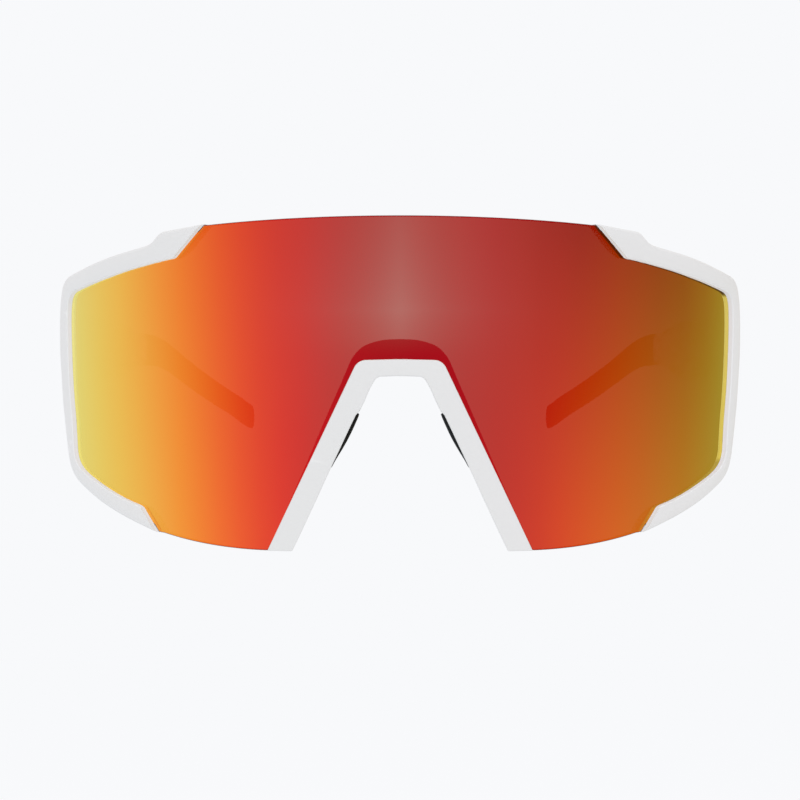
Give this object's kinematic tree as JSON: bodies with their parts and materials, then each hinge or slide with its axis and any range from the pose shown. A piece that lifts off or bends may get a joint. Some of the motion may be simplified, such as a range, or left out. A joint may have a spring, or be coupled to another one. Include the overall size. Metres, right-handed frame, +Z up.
{
  "type": "wraparound sport sunglasses",
  "caption": "Wraparound shield sunglasses: one cylindrical mirror lens in two side frames and a nose bridge, with folding temples, rubber tips and swivelling nose pads.",
  "frame": {"origin": "mid-plane, half-way along the depth, on the level of the feet of the nose bridge", "axes": "+X to the wearer's left, -Y the way the wearer looks, +Z up"},
  "size_m": [0.1458, 0.1664, 0.0659],
  "materials": {
    "lens_pc": "red to yellow mirror coating",
    "frame_white": "satin white",
    "carrier_black": "matt black",
    "rubber_black": "soft matt",
    "steel_bright": "machined",
    "steel_core": "rolled strip",
    "brass_insert": "turned",
    "nylon": "natural nylon"
  },
  "bodies": {
    "front": {"lens": "lens_pc", "side_frame_left": "frame_white", "side_frame_right": "frame_white", "nose_bridge": "frame_white", "nose_pad_carrier": "carrier_black", "bridge_screws": "steel_bright", "nose_pad_pin_left": "steel_bright", "nose_pad_pin_right": "steel_bright", "hinge_screw_left": "steel_bright", "hinge_screw_right": "steel_bright", "hinge_insert_left": "brass_insert", "hinge_insert_right": "brass_insert", "hinge_washers_left": "steel_bright", "hinge_washers_right": "steel_bright"},
    "temple_right": {"temple_right": "frame_white", "temple_tip_right": "rubber_black", "temple_core_right": "steel_core", "hinge_bush_right": "nylon"},
    "temple_left": {"temple_left": "frame_white", "temple_tip_left": "rubber_black", "temple_core_left": "steel_core", "hinge_bush_left": "nylon"},
    "nose_pad_left": {"nose_pad_left": "rubber_black"},
    "nose_pad_right": {"nose_pad_right": "rubber_black"}
  },
  "joints": [
    {"name": "temple_right_fold", "type": "hinge", "parent": "front", "child": "temple_right", "pos_m": [-0.0704, -0.027, 0.04115], "axis": [0, 0, -1], "range_deg": [0, 90]},
    {"name": "temple_left_fold", "type": "hinge", "parent": "front", "child": "temple_left", "pos_m": [0.0704, -0.027, 0.04115], "axis": [0, 0, 1], "range_deg": [0, 72]},
    {"name": "nose_pad_left_swivel", "type": "hinge", "parent": "front", "child": "nose_pad_left", "pos_m": [0.01195, -0.07295, 0.02215], "axis": [0.4367, 0.0759, -0.8964], "range_deg": [-12, 12]},
    {"name": "nose_pad_right_swivel", "type": "hinge", "parent": "front", "child": "nose_pad_right", "pos_m": [-0.01195, -0.07295, 0.02215], "axis": [0.4367, -0.0759, 0.8964], "range_deg": [-12, 12]}
  ]
}
